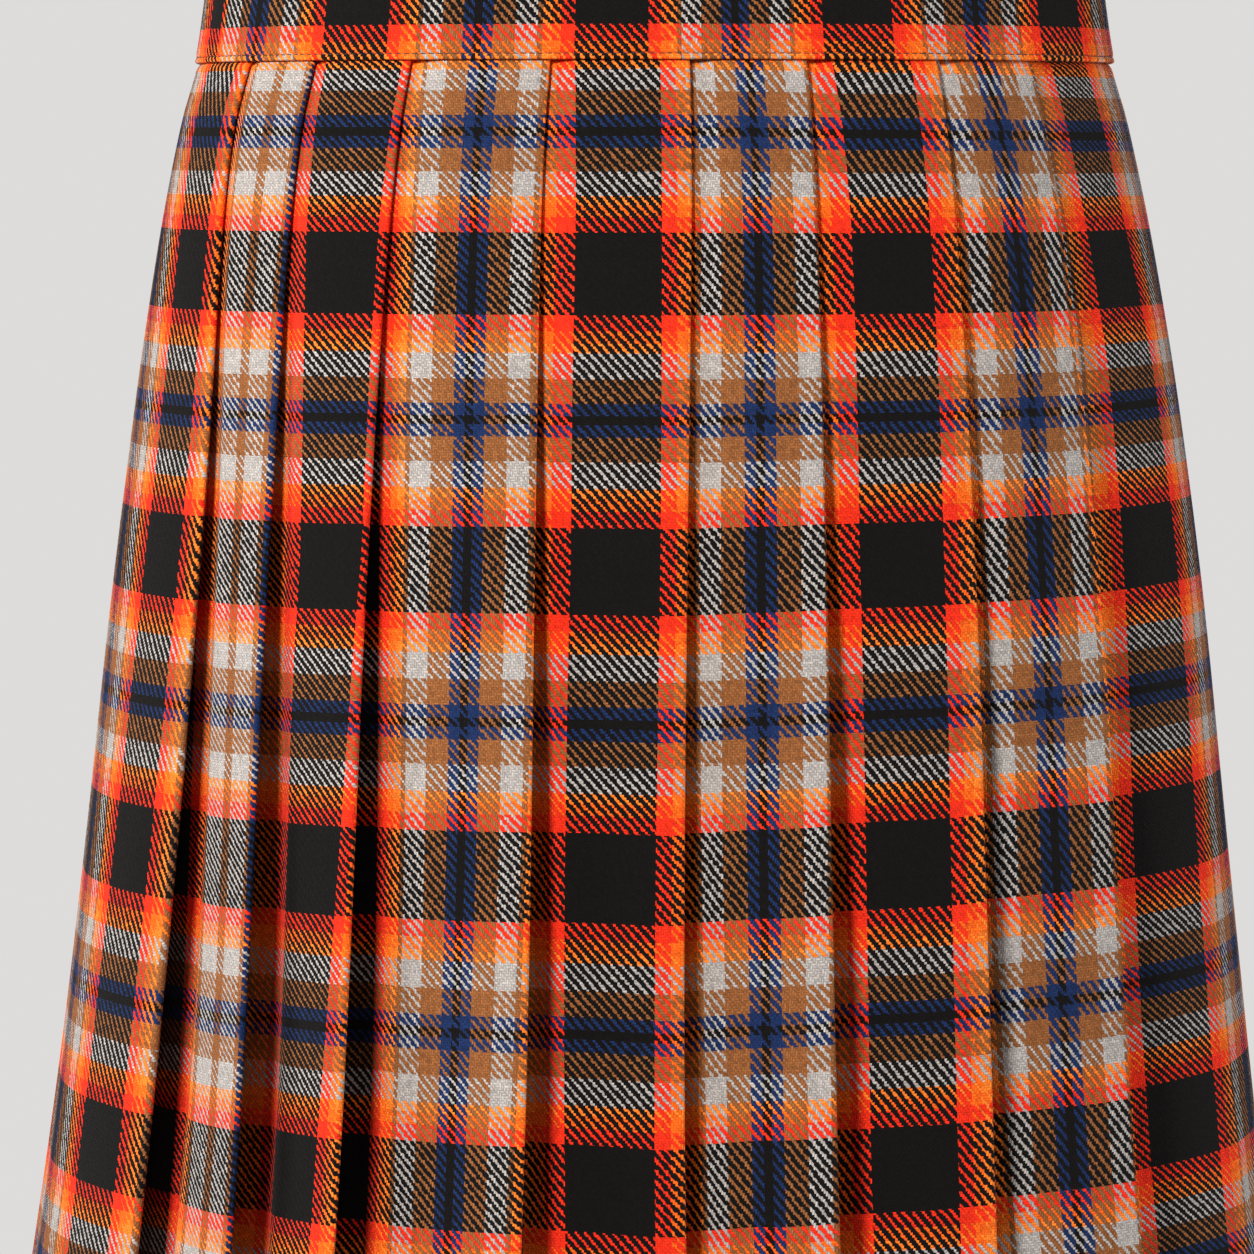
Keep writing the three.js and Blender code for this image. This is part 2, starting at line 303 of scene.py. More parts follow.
def inner_fold(index, ring):
    """The inner fold below a pleat, and the hidden start of the next face."""
    station, _ = face_place(index, LAYER_START, ring)
    turn = half_turn(under_point(index, LAYER_START, ring), ring.place(station, 0), -1)
    hidden = spread(station, fold_station(index, ring), HIDDEN_STEPS)[1:-1]
    return turn[1:] + [ring.place(at, 0) for at in hidden]


def read_off(table, place):
    """The second column of a table where its first reaches a place, in straight stretches."""
    for (near, first), (far, second) in zip(table, table[1:]):
        if place <= far:
            break
    return mix(first, second, (place - near) / (far - near))


def face_stripe(index, distance, ring):
    """The thread of the repeat that lies a distance in from a pleat's fold edge."""
    edge, scale = (
        read_off(list(zip(STRIPE_DROPS, table[index])), ring.drop)
        for table in (EDGE_THREADS, DRAWN_IN)
    )
    if index == ODD:
        slip = read_off(list(zip(STRIPE_DROPS, ODD_SLIPS)), ring.drop)
        return read_off(ODD_PLEAT, slip + distance / scale)
    thread = edge - distance * scale / THREAD
    turned, edge_share = EDGE_SLACK
    if index % 2 == 0 and thread > turned:
        return mix(turned, thread, edge_share)
    far, far_shares = FAR_SLACK
    if thread < far:
        return mix(far, thread, far_shares[index])
    return thread


def along(points):
    """Distance of each point from the first, along the line."""
    total = [0.0]
    for before, after in zip(points, points[1:]):
        total.append(total[-1] + (after - before).length)
    return total


def pleated_line(ring):
    """The back's middle line from left to right, and the thread of the repeat at each point."""
    points = [under_point(0, SEAM_PLACE, ring), under_point(0, LAYER_START, ring)]
    points += inner_fold(0, ring)
    faces = []
    for index in range(1, LAST_FOLD + 1):
        start = len(points)
        points += [face_point(index, share, ring) for share in spread(0, 1, FACE_STEPS)[:-1]]
        edge = len(points) + FOLD_STEPS // 2
        points += fold_edge(index, ring)
        faces.append((index, start, edge))
        points += under_run(index, ring, LAYER_START if index < LAST_FOLD else SEAM_PLACE)
        if index < LAST_FOLD:
            points += inner_fold(index, ring)
    run = along(points)
    threads = [None] * len(points)
    for index, start, edge in faces:
        for i in range(start, edge + 1):
            threads[i] = face_stripe(index, run[edge] - run[i], ring)
    return points, fill_hidden(threads, run)


TURNS = {}  # whole repeats folded away before each hidden stretch ends, settled at the waist


def fill_hidden(threads, run):
    """Carries the repeat on through the hidden layers, so that whole repeats meet the next face."""
    known = [i for i, thread in enumerate(threads) if thread is not None]
    shift = 0
    for before, after in zip(known, known[1:]):
        threads[before] += shift
        if after == before + 1:
            continue
        natural = threads[before] + (run[after] - run[before]) / THREAD
        shift = REPEAT * TURNS.setdefault(after, round((natural - threads[after]) / REPEAT))
        for i in range(before + 1, after):
            share = (run[i] - run[before]) / (run[after] - run[before])
            threads[i] = mix(threads[before], threads[after] + shift, share)
    threads[known[-1]] += shift
    for i in range(known[0]):
        threads[i] = threads[known[0]] - (run[known[0]] - run[i]) / THREAD
    for i in range(known[-1] + 1, len(run)):
        threads[i] = threads[known[-1]] + (run[i] - run[known[-1]]) / THREAD
    return threads


def row_scale(station, ring):
    """How much closer the rows of the tartan lie at a station than the cloth's length puts them."""
    places = [fold_station(i, ring) for i in range(LAST_FOLD + 1)]
    places += [RIGHT_STATION, FRONT_FULL]
    scales = [*ROW_SCALES, RIGHT_ROW_SCALE, ROW_SCALES[0]]
    for i in range(len(places) - 1):
        if station <= places[i + 1]:
            return mix(scales[i], scales[i + 1], ease(places[i], places[i + 1], station))
    return scales[0]


FRONT_START, FRONT_FULL = 75, 150  # stations between which a side gives way to the front
ROWS = 94
ROW_DROPS = [CLOTH_TOP, 0.0008, 0.0014, 0.0022, 0.0032, *spread(0.0045, HEM_DROP, ROWS)]


def finish_piece(name, shape, material):
    mesh = bpy.data.meshes.new(name)
    shape.normal_update()
    shape.to_mesh(mesh)
    shape.free()
    mesh.materials.append(material)
    piece = bpy.data.objects.new(name, mesh)
    bpy.context.scene.collection.objects.link(piece)
    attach(piece, "root")
    return piece


def sew_sheet(name, rows, columns, at):
    """A sheet of tartan from at[row][column] = (place, threads across and down, repeats)."""
    shape = bmesh.new()
    bmesh.ops.create_grid(shape, x_segments=columns, y_segments=rows, size=0.5)
    maps = [shape.loops.layers.uv.new(name) for name in ("threads", "sett")]
    spots = {}
    for vert in shape.verts:
        spot = at[round((0.5 - vert.co.y) * rows)][round((vert.co.x + 0.5) * columns)]
        spots[vert] = spot
        vert.co = spot[0]
    for face in shape.faces:
        face.smooth = True
        for loop in face.loops:
            for uv_map, uv in zip(maps, spots[loop.vert][1:]):
                loop[uv_map].uv = uv
    piece = finish_piece(name, shape, TARTAN)
    wall = piece.modifiers.new("cloth thickness", "SOLIDIFY")
    wall.thickness = CLOTH
    wall.offset = 0
    return piece


def hang(name, line_of):
    """A sheet of cloth swept down from the waist seam, with one line across for each row."""
    at, depth = [], None
    for drop in ROW_DROPS:
        ring = Ring(drop)
        points, threads = line_of(ring)
        if depth is None:
            depth = [0.0] * len(points)
        else:
            fall = last_ring.height - ring.height
            steps = (math.hypot((a - b).length, fall) for a, b in zip(points, last_points))
            depth = [total + step for total, step in zip(depth, steps)]
        last_ring, last_points = ring, points
        run = along(points)
        middle = run[len(run) // 2]
        row = []
        for i, point in enumerate(points):
            scale = row_scale(math.degrees(math.atan2(point.x, -point.y)), ring)
            slip = read_off(ROW_SLIPS, depth[i])
            weft = (depth[i] - slip - FIRST_ROW) * scale / THREAD
            threads_at = run[i] - middle, -depth[i]
            row.append(((*point, ring.height), threads_at, (threads[i] / REPEAT, -weft / REPEAT)))
        at.append(row)
    return sew_sheet(name, len(at) - 1, len(at[0]) - 1, at)


class Finish:
    """A material under construction: node() adds any node, its settings before its links."""

    def __init__(self, name):
        self.material = bpy.data.materials.new(name)
        self.material.use_nodes = True
        self.tree = self.material.node_tree
        self.surface = self.tree.nodes["Principled BSDF"]

    def node(self, kind, inputs=(), **settings):
        made = self.tree.nodes.new(kind)
        stops = settings.pop("stops", ())
        for setting, value in settings.items():
            setattr(made, setting, value)
        for i, (place, colour) in enumerate(stops):
            ramp = made.color_ramp
            ramp.interpolation = "CONSTANT"
            stop = ramp.elements[i] if i < 2 else ramp.elements.new(place)
            stop.position = place
            stop.color = colour
        for socket, value in dict(inputs).items():
            self.put(made.inputs[socket], value)
        return made

    def put(self, socket, value):
        if isinstance(value, Wire):
            value = value.socket
        if isinstance(value, bpy.types.NodeSocket):
            self.tree.links.new(value, socket)
        else:
            socket.default_value = value

    def blend(self, share, first, second, how="MIX"):
        """Colours mixed by share, or multiplied and so on."""
        made = self.node("ShaderNodeMix", data_type="RGBA", blend_type=how)
        self.put(made.inputs[0], share)
        self.put(made.inputs[6], first)
        self.put(made.inputs[7], second)
        return made.outputs[2]

    def shade(self, colour, light):
        """A colour made lighter or darker by a number that varies."""
        grey = self.node("ShaderNodeCombineXYZ", {0: light, 1: light, 2: light}).outputs[0]
        return self.blend(1.0, colour, grey, "MULTIPLY")

    def noise(self, vector, scale, detail=2.0):
        inputs = {"Vector": vector, "Scale": scale, "Detail": detail}
        return Wire(self, self.node("ShaderNodeTexNoise", inputs).outputs[0])

    def look(self, colour, roughness, **others):
        """Sets the surface: colour, roughness and others are numbers or wires."""
        values = {"Base Color": colour, "Roughness": roughness}
        values.update({name.replace("_", " "): value for name, value in others.items()})
        for socket, value in values.items():
            self.put(self.surface.inputs[socket], value)

    def bump(self, height, distance, strength):
        inputs = {"Height": height, "Distance": distance, "Strength": strength}
        self.put(self.surface.inputs["Normal"], self.node("ShaderNodeBump", inputs).outputs[0])


class Wire:
    """A number that varies over the surface, for sums written as plain Python."""

    def __init__(self, finish, socket):
        self.finish, self.socket = finish, socket

    def sum(self, operation, *values):
        made = self.finish.node("ShaderNodeMath", enumerate(values), operation=operation)
        return Wire(self.finish, made.outputs[0])

    def __add__(self, other):
        return self.sum("ADD", self, other)

    def __sub__(self, other):
        return self.sum("SUBTRACT", self, other)

    def __rsub__(self, other):
        return self.sum("SUBTRACT", other, self)

    def __mul__(self, other):
        return self.sum("MULTIPLY", self, other)

    def __truediv__(self, other):
        return self.sum("DIVIDE", self, other)

    def __mod__(self, other):
        return self.sum("FLOORED_MODULO", self, other)

    def __lt__(self, other):
        return self.sum("LESS_THAN", self, other)

    __radd__, __rmul__ = __add__, __mul__

    def floor(self):
        return self.sum("FLOOR", self)

    def there_and_back(self, length):
        return self.sum("PINGPONG", self, length)

    def between(self, low, high):
        return self.sum("MAXIMUM", self.sum("MINIMUM", self, high), low)


def paint(red, green, blue):
    """A colour given as 0 to 255, as shaders take it."""
    parts = (red / 255, green / 255, blue / 255)
    linear = [c / 12.92 if c < 0.04045 else ((c + 0.055) / 1.055) ** 2.4 for c in parts]
    return (*linear, 1.0)


BLACK = paint(13, 10, 9)
SCARLET = paint(240, 46, 20)
ORANGE = paint(248, 98, 20)
AMBER = paint(251, 125, 38)
TAN = paint(142, 87, 47)
PALE_GREY = paint(172, 165, 160)
NAVY = paint(23, 42, 84)
# Half of the repeat each way, from the middle of the black: the thread where each colour starts.
WARP = (
    (0, BLACK),
    (17, SCARLET),
    (23, ORANGE),
    (27, AMBER),
    (31, TAN),
    (33.5, PALE_GREY),
    (43, TAN),
    (53, NAVY),
    (58, BLACK),
)
WEFT = (
    (0, BLACK),
    (17, SCARLET),
    (23.5, ORANGE),
    (28.5, AMBER),
    (32.5, PALE_GREY),
    (43, TAN),
    (53, NAVY),
    (58, BLACK),
)
WARP_PITCH = 0.00078  # from one thread to the next across the cloth
WEFT_PITCH = 0.00085
FLOAT = 2  # threads that each thread passes over, and then under
PAINTED_EDGE_SHADE = 0.50  # how much of a light thread's float is painted over in the colour of the darker thread beside it, as painted shade at its edge
CONTRAST = 9  # how soon a difference in brightness counts as dark beside light
SMOOTHNESS = 0.45  # share of the twill lines that runs on smoothly instead of in whole threads
RAGGEDNESS = 0.7  # how far a float can start early, in threads
DIMMEST_YARN = 0.78
THREAD_VARIETY, FLOAT_VARIETY = 0.14, 0.34  # how much lighter a whole thread or one float can be
PAINTED_HOLLOW_SHADE, PAINTED_CROWN_LIGHT = 0.6, 0.55  # painted shade in the hollows between the threads, and the painted highlight that their crowns add
CLOTH_RELIEF = 0.00025


def tartan():
    """Two-and-two twill: each warp thread shows over two wefts and hides under the next two."""
    cloth = Finish("tartan twill")

    def axes(uv_map):
        uv = cloth.node("ShaderNodeUVMap", uv_map=uv_map).outputs[0]
        parts = cloth.node("ShaderNodeSeparateXYZ", {0: uv}).outputs
        return Wire(cloth, parts[0]), Wire(cloth, parts[1])

    def stripe(place, colours):
        half = REPEAT / 2
        stops = [(thread / half, colour) for thread, colour in colours]
        folded = (place * REPEAT).there_and_back(half) / half
        return cloth.node("ShaderNodeValToRGB", {0: folded}, stops=stops).outputs[0]

    def brightness(colour):
        return Wire(cloth, cloth.node("ShaderNodeRGBToBW", {0: colour}).outputs[0])

    def roundness(share):
        """1 along the middle of each thread and 0 between threads."""
        middle = (share - share.floor()) * 2 - 1
        return 1 - middle * middle

    def chance(*parts):
        vector = cloth.node("ShaderNodeCombineXYZ", enumerate(parts)).outputs[0]
        random = cloth.node("ShaderNodeTexWhiteNoise", {"Vector": vector})
        return Wire(cloth, random.outputs["Value"])

    def spun(colour, thread, other):
        """Yarn varies a little from thread to thread, and more from float to float."""
        light = DIMMEST_YARN + THREAD_VARIETY * chance(thread, 0.5, 0)
        return cloth.shade(colour, light + FLOAT_VARIETY * chance(thread, other, 1.5))

    sett_across, sett_down = axes("sett")
    warp_colour, weft_colour = stripe(sett_across, WARP), stripe(0 - sett_down, WEFT)
    across, down = axes("threads")
    warp_place, weft_place = across / WARP_PITCH, 0 - down / WEFT_PITCH
    warp, weft = warp_place.floor(), weft_place.floor()
    stepped, smooth = warp - weft, warp_place - weft_place
    ragged = chance(warp, weft, 9) * RAGGEDNESS
    lean = (stepped * (1 - SMOOTHNESS) + smooth * SMOOTHNESS + ragged) % (2 * FLOAT)
    # Where two crossing threads differ in brightness, the darker one's float is drawn longer over
    # the lighter one: painted shade at the lighter float's edges.
    contrast = (brightness(weft_colour) - brightness(warp_colour)) * CONTRAST
    warp_float = FLOAT + contrast.between(-PAINTED_EDGE_SHADE, PAINTED_EDGE_SHADE)
    warp_shows = lean < warp_float
    over, under = lean / warp_float, (lean - warp_float) / (2 * FLOAT - warp_float)
    height = warp_shows * roundness(warp_place) * roundness(over.between(0, 0.999))
    height += (1 - warp_shows) * roundness(weft_place) * roundness(under.between(0, 0.999))
    colour = cloth.blend(
        warp_shows,
        spun(weft_colour, weft, (warp / FLOAT).floor()),
        spun(warp_colour, warp, (weft / FLOAT).floor()),
    )
    # The yarn colour is darkened between the threads and lightened along their crowns: painted
    # shade and painted highlight.
    cloth.look(
        cloth.shade(colour, PAINTED_HOLLOW_SHADE + PAINTED_CROWN_LIGHT * height),
        roughness=0.9,
        Specular_IOR_Level=0.12,
        Sheen_Weight=0.03,
        Sheen_Roughness=0.5,
    )
    cloth.bump(height, CLOTH_RELIEF, 0.7)
    return cloth.material


TARTAN = tartan()
back = hang("pleated_back_cloth", pleated_line)
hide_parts("pleated_back")

# ---- The over apron ----
# The outer flat panel of the same tartan. Its back edge is the first fold edge at the wearer's
# left, and it runs on round that side and across the front to lie over the under apron. Its free
# edge is the cloth's selvedge, and only the waistband and its buttons hold it.

OVER_APRON_EDGE = -246
LEFT_SIDE = -85
LEFT_FLARE = 0.010  # how far it stands out at the wearer's left side
LEFT_SWING = 0.015  # and how much further its hem swings out there
LEFT_FALL = (90, 140)  # stations to the left between which it settles back on the front
RIGHT_FLARE = 0.016  # the under apron at the right side
RIGHT_RISE = 20  # degrees past the last fold edge over which that one grows
RIGHT_FALL = (78, 150)
APRON_STEPS = 120
LEVEL_DROP = 0.25  # the stripes run straight down the front from where they lie at this drop


def right_flare(station, ring):
    start = fold_station(LAST_FOLD, ring)
    fall = 1 - ease(*RIGHT_FALL, station)
    return RIGHT_FLARE * ease(start, start + RIGHT_RISE, station) * fall * ring.opening


def left_flare(station, ring):
    edge = fold_station(0, ring)
    side = LEFT_FLARE * ring.opening + LEFT_SWING * (ring.drop / HEM_DROP) ** 3
    out = mix(FOLDS[0][4] * ring.lift, side, ease(-edge, -LEFT_SIDE, -station))
    return out * (1 - ease(*LEFT_FALL, -station))


def over_apron_line(ring):
    stations = spread(OVER_APRON_EDGE, fold_station(0, ring), APRON_STEPS)
    points = []
    for station in stations[:-1]:
        flare = left_flare(station, ring) + right_flare(station + 360, ring)
        points.append(ring.place(station, 2 * ring.layer + flare))
    edge = len(points) + FOLD_STEPS // 2
    points += fold_edge(0, ring) + under_run(0, ring, SEAM_PLACE)
    run = along(points)
    threads = [face_stripe(0, run[edge] - run[i], ring) for i in range(edge + 1)]
    threads += [threads[edge] + (run[i] - run[edge]) / THREAD for i in range(edge + 1, len(run))]
    if ring.drop != LEVEL_DROP:
        for i, station in enumerate(stations[:-1]):
            share = ease(FRONT_START, FRONT_FULL, -station)
            threads[i] = mix(threads[i], read_off(OVER_STRIPES, station), share)
    return points, threads


level = Ring(LEVEL_DROP)
level_stations = spread(OVER_APRON_EDGE, fold_station(0, level), APRON_STEPS)
OVER_STRIPES = list(zip(level_stations, over_apron_line(level)[1]))
over_apron = hang("over_apron_cloth", over_apron_line)
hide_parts("over_apron", "left_side")

# ---- The under apron ----
# The inner flat panel. It comes out from beneath the last pleat, goes round the wearer's right side
# and ends at the left front, under the over apron.

UNDER_APRON_EDGE = 234
# At the same drops as the fold edges: the way from the last fold to the side's black stripe, and
# how much the side's stripes are drawn in.
RIGHT_BLACK = (0.0235, 0.0264, 0.0305, 0.0325, 0.0335, 0.0350, 0.0360)
RIGHT_DRAWN_IN = (1.30, 1.24, 1.13, 1.03, 0.96, 0.925, 0.90)


def under_apron_line(ring):
    points = [under_point(LAST_FOLD, SEAM_PLACE, ring), under_point(LAST_FOLD, LAYER_START, ring)]
    points += inner_fold(LAST_FOLD, ring)
    start = len(points)
    stations = spread(fold_station(LAST_FOLD, ring), UNDER_APRON_EDGE, APRON_STEPS)
    points += [ring.place(station, right_flare(station, ring)) for station in stations]
    run = along(points)
    black, scale = (
        read_off(list(zip(STRIPE_DROPS, table)), ring.drop)
        for table in (RIGHT_BLACK, RIGHT_DRAWN_IN)
    )
    threads = [(at - run[start] - black) * scale / THREAD for at in run]
    if ring.drop != LEVEL_DROP:
        for i, station in enumerate(stations):
            share = ease(FRONT_START, FRONT_FULL, station)
            level_stripe = read_off(UNDER_STRIPES, station)
            threads[start + i] = mix(threads[start + i], level_stripe, share)
    return points, threads


level_stations = spread(fold_station(LAST_FOLD, level), UNDER_APRON_EDGE, APRON_STEPS)
UNDER_STRIPES = list(zip(level_stations, under_apron_line(level)[1][-len(level_stations) :]))
under_apron = hang("under_apron_cloth", under_apron_line)
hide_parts("under_apron", "right_side")

# ---- The waistband ----
# One strip of the tartan folded lengthwise round the tops of all the cloth, with both its edges
# turned in at the bottom and stitched through. Its outer end laps over its inner end at the front.

BAND_OUTER_END = -247
BAND_INNER_END = 237
BAND_INSIDE = -0.0010  # offsets of its inner and outer faces
BAND_OUTSIDE = 0.0044
UNDER_BAND_OUTSIDE = 0.0012  # where only the under apron hangs from it
OVER_BAND_INSIDE = 0.0016  # where it lies over its own inner end
BAND_STEPS = 420
TAPER = 1.2  # degrees at each end over which its two faces are drawn together
OVERLAP_STEP = (98, 112)  # stations to the left between which it rises over its inner end
THINNING = (55, 95)  # stations to the right between which the pleats' layers come to an end
PRESSED = 1.1  # the two faces at each end, in thicknesses of cloth
# The outer face from its turned-in edge to the top, the inner face being its mirror image: depth
# below the face and height above the lower edge.
BAND_PROFILE = (
    (0.00130, 0.0070),
    (0.00125, 0.0040),
    (0.00115, 0.0012),
    (0.00090, 0.0004),
    (0.00055, 0.0001),
    (0.00020, 0.0003),
    (0.00003, 0.0007),
    (0.00010, 0.0011),
    (0.00050, 0.0015),
    (0.00050, 0.0018),
    (0.00015, 0.0024),
    (0.00000, 0.0034),
    (0.00000, 0.0060),
    (0.00000, 0.0090),
    (0.00000, 0.0130),
    (0.00000, 0.0180),
    (0.00000, 0.0230),
    (0.00000, 0.0280),
    (0.00000, 0.0330),
    (0.00000, 0.0380),
    (0.00000, 0.0420),
    (0.00005, 0.0440),
    (0.00030, 0.0451),
    (0.00080, 0.0458),
)
LOWER_EDGE = 4  # the row of that profile that lies at the very bottom
# Where the band's upright stripes fall: station and thread of the repeat.
BAND_STRIPES = (
    (-72.0, -17),
    (-66.6, 17),
    (-65.3, 33),
    (-59.5, 43.5),
    (-57.7, 53),
    (-54.8, 60),
    (-35.3, 120),
    (-18.0, 180),
    (-3.3, 240),
    (6.4, 300),
    (20.3, 360),
    (37.9, 420),
    (55.1, 480),
)
BAND_THREAD = 0.084 / REPEAT
BAND_BLACK = 0.0255  # height of the middle of the black row


def band_faces(station):
    over_under = ease(*OVERLAP_STEP, -station)
    thinned = ease(*THINNING, station)
    inside = mix(BAND_INSIDE, OVER_BAND_INSIDE, over_under)
    outside = mix(BAND_OUTSIDE, UNDER_BAND_OUTSIDE, thinned)
    end = min(station - BAND_OUTER_END, BAND_INNER_END - station)
    drawn = (outside - inside - PRESSED * CLOTH) / 2 * (1 - ease(0, TAPER, end) ** 0.5)
    return inside + CLOTH / 2 + drawn, outside - CLOTH / 2 - drawn


def band_column(station):
    """The band's section at a station, from the inner face's turned-in edge to the outer one's."""
    inner, outer = band_faces(station)
    half = (outer - inner) / 2
    column = []
    for face, towards, profile in ((inner, 1, BAND_PROFILE), (outer, -1, BAND_PROFILE[::-1])):
        for depth, height in profile:
            ring = Ring(-height)
            point = ring.place(station, face + towards * min(depth, half * 0.8))
            column.append(Vector((*point, ring.height)))
    return column


band_stations = spread(BAND_OUTER_END, BAND_INNER_END, BAND_STEPS)
band_columns = [band_column(station) for station in band_stations]
band_run = along([column[-1 - LOWER_EDGE] for column in band_columns])


def band_thread(place):
    """The thread of the repeat at a place along the band, carried on evenly past the table."""
    table = [(read_off(list(zip(band_stations, band_run)), at), n) for at, n in BAND_STRIPES]
    (first, first_thread), (last, last_thread) = table[0], table[-1]
    if place < first:
        return first_thread - (first - place) / BAND_THREAD
    if place > last:
        return last_thread + (place - last) / BAND_THREAD
    return read_off(table, place)


at = [[] for _ in band_columns[0]]
for column, place in zip(band_columns, band_run):
    rise = along(column)
    thread = band_thread(place) / REPEAT
    lower_edge = rise[-1 - LOWER_EDGE]
    for row, point in enumerate(column):
        height = lower_edge - rise[row]
        repeat = (height - BAND_BLACK) / THREAD / REPEAT
        at[row].append((point, (place, height), (thread, repeat)))
band = sew_sheet("waistband_cloth", len(at) - 1, BAND_STEPS, at)
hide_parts("waistband")

# ---- The waistband's stitching ----
# One row of machine stitches in dark thread, close above the band's lower edge and right through
# it, so that it shows inside as well.

STITCH_HEIGHT = 0.00165
STITCH_PITCH = 0.0028
STITCH = (0.00042, 0.00045, 0.0023)  # width, thickness and length
UP_REACH = 0.002  # how far up and how many degrees to each side the band's slope is read
SIDE_REACH = 0.2
FUZZ_SCALE = 3200.0


def sew(place, up, out, size):
    """Where one stitch lies: its length is square to up and out."""
    axes = [axis.normalized() * length for axis, length in zip((up, out, up.cross(out)), size)]
    return Matrix([(*row, shift) for row, shift in zip(zip(*axes), place)] + [(0, 0, 0, 1)])


def finish_stitches(name, stitches):
    """One piece of thread from the places of its stitches, each a slim rounded spindle."""
    spindle = bmesh.new()
    bmesh.ops.create_uvsphere(spindle, u_segments=6, v_segments=6, radius=0.5)
    spindle.verts.index_update()
    corners = [vert.co.copy() for vert in spindle.verts]
    sides = [[vert.index for vert in face.verts] for face in spindle.faces]
    spindle.free()
    mesh = bpy.data.meshes.new(name)
    verts = [stitch @ corner for stitch in stitches for corner in corners]
    starts = range(0, len(verts), len(corners))
    mesh.from_pydata(verts, [], [[start + i for i in side] for start in starts for side in sides])
    shape = bmesh.new()
    shape.from_mesh(mesh)
    for face in shape.faces:
        face.smooth = True
    piece = finish_piece(name, shape, THREAD_FINISH)
    return piece


def band_spot(station, height, proud, face=1):
    """A point on the band's inner or outer face, face 0 or 1, and the way up and out from it."""
    low, high = Ring(-height), Ring(-height - UP_REACH)
    offset = band_faces(station)[face] + proud
    point, above = low.place(station, offset), high.place(station, offset)
    before, after = (low.place(station + way * SIDE_REACH, offset) for way in (-1, 1))
    place = Vector((*point, low.height))
    up = (Vector((*above, high.height)) - place).normalized()
    sideways = Vector((*(after - before), 0)).normalized()
    return place, up, sideways.cross(up)


def thread_finish():
    thread = Finish("dark sewing thread")
    place = thread.node("ShaderNodeTexCoord").outputs["Object"]
    fuzz = thread.noise(place, FUZZ_SCALE)
    thread.look(thread.blend(fuzz, paint(18, 13, 11), paint(58, 44, 36)), 0.62)
    thread.bump(fuzz, 0.0001, 0.5)
    return thread.material


THREAD_FINISH = thread_finish()
seam = []
stations_at = list(zip(band_run, band_stations))
for i in range(1, int(band_run[-1] / STITCH_PITCH)):
    station = read_off(stations_at, i * STITCH_PITCH)
    for face in (0, 1):
        seam.append(sew(*band_spot(station, STITCH_HEIGHT, 0, face), STITCH))
stitching = finish_stitches("waistband_stitching", seam)

# ---- The buttons ----
# Two dark horn buttons with a raised rim and four holes, sewn through the band's inner end, each
# pushed out through a stitched buttonhole in the outer end.

BUTTON_STATIONS = (-239, -223)
BUTTON_PROFILE = (  # radius and height, from the middle of the underside round to the dish
    (0.0000, 0.0000),
    (0.0084, 0.0000),
    (0.0088, 0.0002),
    (0.0090, 0.0006),
    (0.0090, 0.0024),
    (0.0088, 0.0029),
    (0.0082, 0.0032),
    (0.0072, 0.0032),
    (0.0067, 0.0031),
    (0.0062, 0.0026),
    (0.0057, 0.0023),
)
DISH = 0.0022  # height and radius of the flat middle
DISH_RADIUS = 0.0053
DISH_STEPS = 26
BUTTON_SIDES = 88
HOLE_RADIUS = 0.00085
HOLE_BEVEL = (-0.0001, 0.0002)  # how far in and out from that radius its edge is rounded
HOLE_DEPTH = 0.0018
HOLE_SPREAD = 0.0016  # each way from the middle
HOLE_FLOOR = 0.0021  # only what lies above this height is pressed down into the holes
STRANDS = (-0.0004, 0, 0.0004)  # each pair of holes holds three strands, side by side
STRAND = (0.00045, 0.0010, 2.5 * HOLE_SPREAD)  # width, thickness and length
STRAND_SINK = 0.0001
BUTTON_GAP = 0.0003
BUTTONHOLE_HALF = 0.0105
BUTTONHOLE_SHIFT = 0.0022  # the button slides to one end of its buttonhole
BUTTONHOLE_LIP = 0.0012  # from its middle line up or down to its stitches
BUTTONHOLE_BAR = (0.0008, 0.0018)  # how far past each end its bar is sewn, and half its height
BUTTONHOLE_STEPS = 34
BAR_STEPS = 9
FRONT_RADIUS = 0.118  # of the band's curve where the buttons are
HOLE_STITCH = (0.00040, 0.00040, 0.0018)
HORN_GRAIN = (1, 1, 5)  # its clouds and streaks are this much closer together upwards
CLOUD_SCALE, STREAK_SCALE = 90.0, 700.0


def horn():
    finish = Finish("dark polished horn")
    place = finish.node("ShaderNodeTexCoord").outputs["Object"]
    grain = finish.node("ShaderNodeVectorMath", {0: place, 1: HORN_GRAIN}, operation="MULTIPLY")
    cloud = finish.noise(grain.outputs[0], CLOUD_SCALE, 3.0)
    streak = finish.noise(grain.outputs[0], STREAK_SCALE, 3.0)
    share = (cloud * 0.7 + streak * 0.6 - 0.42).between(0, 1)
    finish.look(finish.blend(share, paint(20, 14, 11), paint(88, 58, 36)), 0.3 + 0.15 * streak)
    finish.bump(streak, 0.00005, 0.3)
    return finish.material


